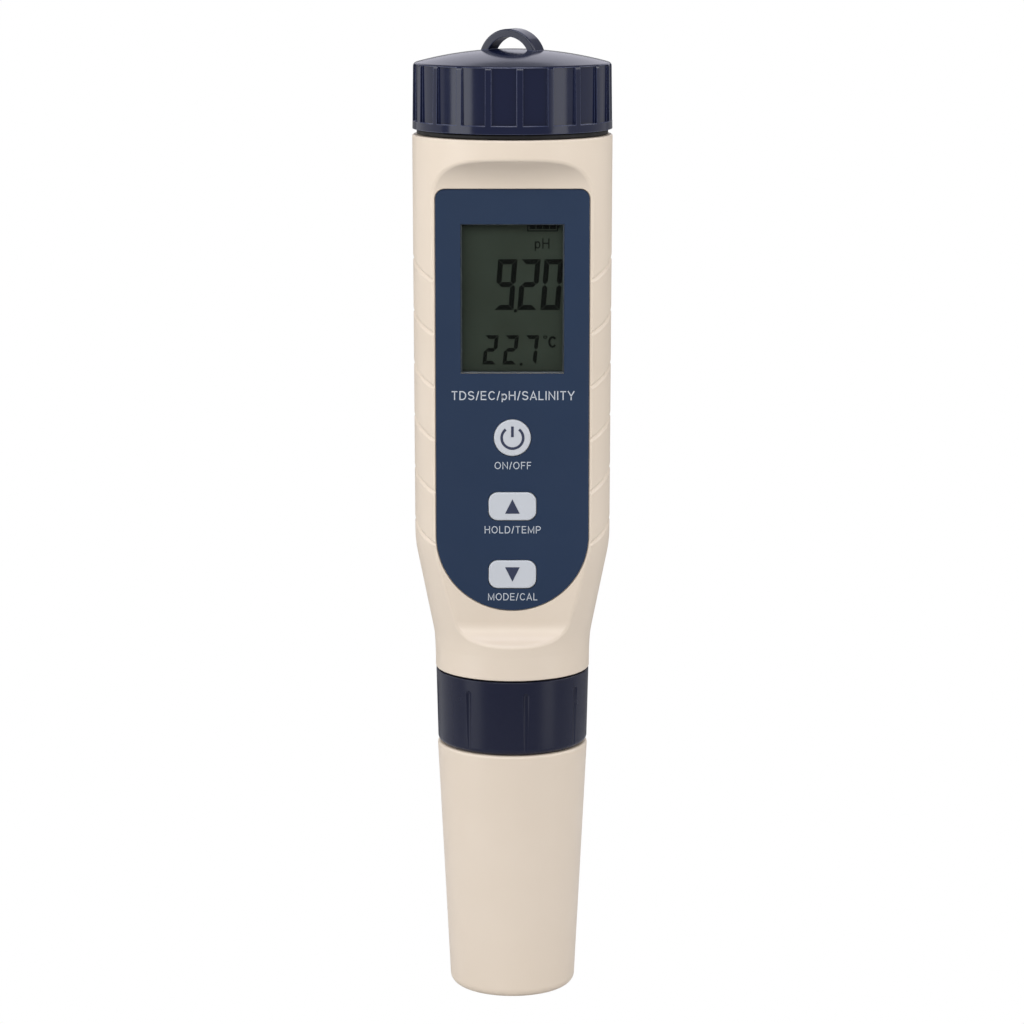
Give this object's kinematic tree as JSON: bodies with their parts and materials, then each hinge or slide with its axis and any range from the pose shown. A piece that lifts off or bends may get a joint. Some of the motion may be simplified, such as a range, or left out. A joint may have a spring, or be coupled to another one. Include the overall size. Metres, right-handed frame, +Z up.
{
  "type": "digital water tester",
  "caption": "Pen-shaped electronic water tester with a display, keys, screw battery cap, replaceable electrode on a screw collar and a push-on probe cap.",
  "frame": {"origin": "centre of the probe cap's base, on the surface the tester stands on", "axes": "+Z up the body towards the battery cap, display and keys face -Y"},
  "size_m": [0.038, 0.038, 0.1873],
  "materials": {
    "cream_plastic": "fine satin",
    "panel_film": "satin film",
    "clear_window": "clear gloss",
    "frame_plastic": "satin",
    "display_glass": "dark olive glass",
    "diffuser": "milky",
    "black_rubber": "matte",
    "key_plastic": "satin",
    "black_plastic": "satin",
    "stem_plastic": "satin",
    "board_green": "solder mask",
    "steel": "plated",
    "component_plastic": "satin",
    "spring_brass": "plated",
    "navy_plastic": "gloss",
    "sponge": "open cell foam",
    "bulb_glass": "clear",
    "silver_wire": "bright wire",
    "ceramic_white": "porous"
  },
  "bodies": {
    "shell": {"body_shell": "cream_plastic", "face_panel": "panel_film", "display_window": "clear_window", "lcd_frame": "frame_plastic", "lcd_glass": "display_glass", "backlight": "diffuser", "zebra_strips": "black_rubber", "switch_housings": "black_plastic", "main_pcb": "board_green", "pcb_screws": "steel", "controller_chip": "black_plastic", "small_components": "component_plastic", "battery_holder": "black_plastic", "battery_strip": "spring_brass", "battery_spring": "steel", "button_cell_1": "steel", "button_cell_2": "steel", "button_cell_3": "steel", "button_cell_4": "steel", "cap_gasket": "black_rubber", "electrode_socket": "black_plastic"},
    "cap_carrier": {"cap_contact": "spring_brass"},
    "cap": {"battery_cap": "navy_plastic"},
    "electrode": {"electrode_housing": "black_plastic", "electrode_o_ring": "black_rubber", "electrode_pins": "spring_brass", "ph_bulb": "bulb_glass", "ph_inner_wire": "silver_wire", "reference_junction": "ceramic_white", "conductivity_pins": "steel", "temperature_probe": "steel", "probe_cap_seal": "black_rubber"},
    "collar": {"electrode_collar": "navy_plastic"},
    "probe_cover": {"probe_cap": "cream_plastic", "storage_sponge": "sponge"},
    "key_power": {"key_power": "key_plastic", "switch_stem_power": "stem_plastic"},
    "key_up": {"key_up": "key_plastic", "switch_stem_up": "stem_plastic"},
    "key_down": {"key_down": "key_plastic", "switch_stem_down": "stem_plastic"}
  },
  "joints": [
    {"name": "cap_lift", "type": "slide", "parent": "shell", "child": "cap_carrier", "axis": [0, 0, 1], "range_m": [0, 0.009]},
    {"name": "cap_turn", "type": "hinge", "parent": "cap_carrier", "child": "cap", "pos_m": [0, 0, 0.175], "axis": [0, 0, 1], "range_deg": [0, 1080]},
    {"name": "electrode_draw", "type": "slide", "parent": "shell", "child": "electrode", "axis": [0, 0, -1], "range_m": [0, 0.009]},
    {"name": "collar_turn", "type": "hinge", "parent": "electrode", "child": "collar", "pos_m": [0, 0, 0.057], "axis": [0, 0, -1], "range_deg": [0, 1080]},
    {"name": "probe_cap_pull", "type": "slide", "parent": "electrode", "child": "probe_cover", "axis": [0, 0, -1], "range_m": [0, 0.045]},
    {"name": "key_power_press", "type": "slide", "parent": "shell", "child": "key_power", "axis": [0, 1, 0], "range_m": [0, 0.0005], "stiffness_N_per_m": 1500},
    {"name": "key_up_press", "type": "slide", "parent": "shell", "child": "key_up", "axis": [0, 1, 0], "range_m": [0, 0.0005], "stiffness_N_per_m": 1500},
    {"name": "key_down_press", "type": "slide", "parent": "shell", "child": "key_down", "axis": [0, 1, 0], "range_m": [0, 0.0005], "stiffness_N_per_m": 1500}
  ],
  "couplings": [
    {"joint": "cap_lift", "follows": "cap_turn", "m_per_rad": 0.00047746},
    {"joint": "electrode_draw", "follows": "collar_turn", "m_per_rad": 0.00047746}
  ]
}
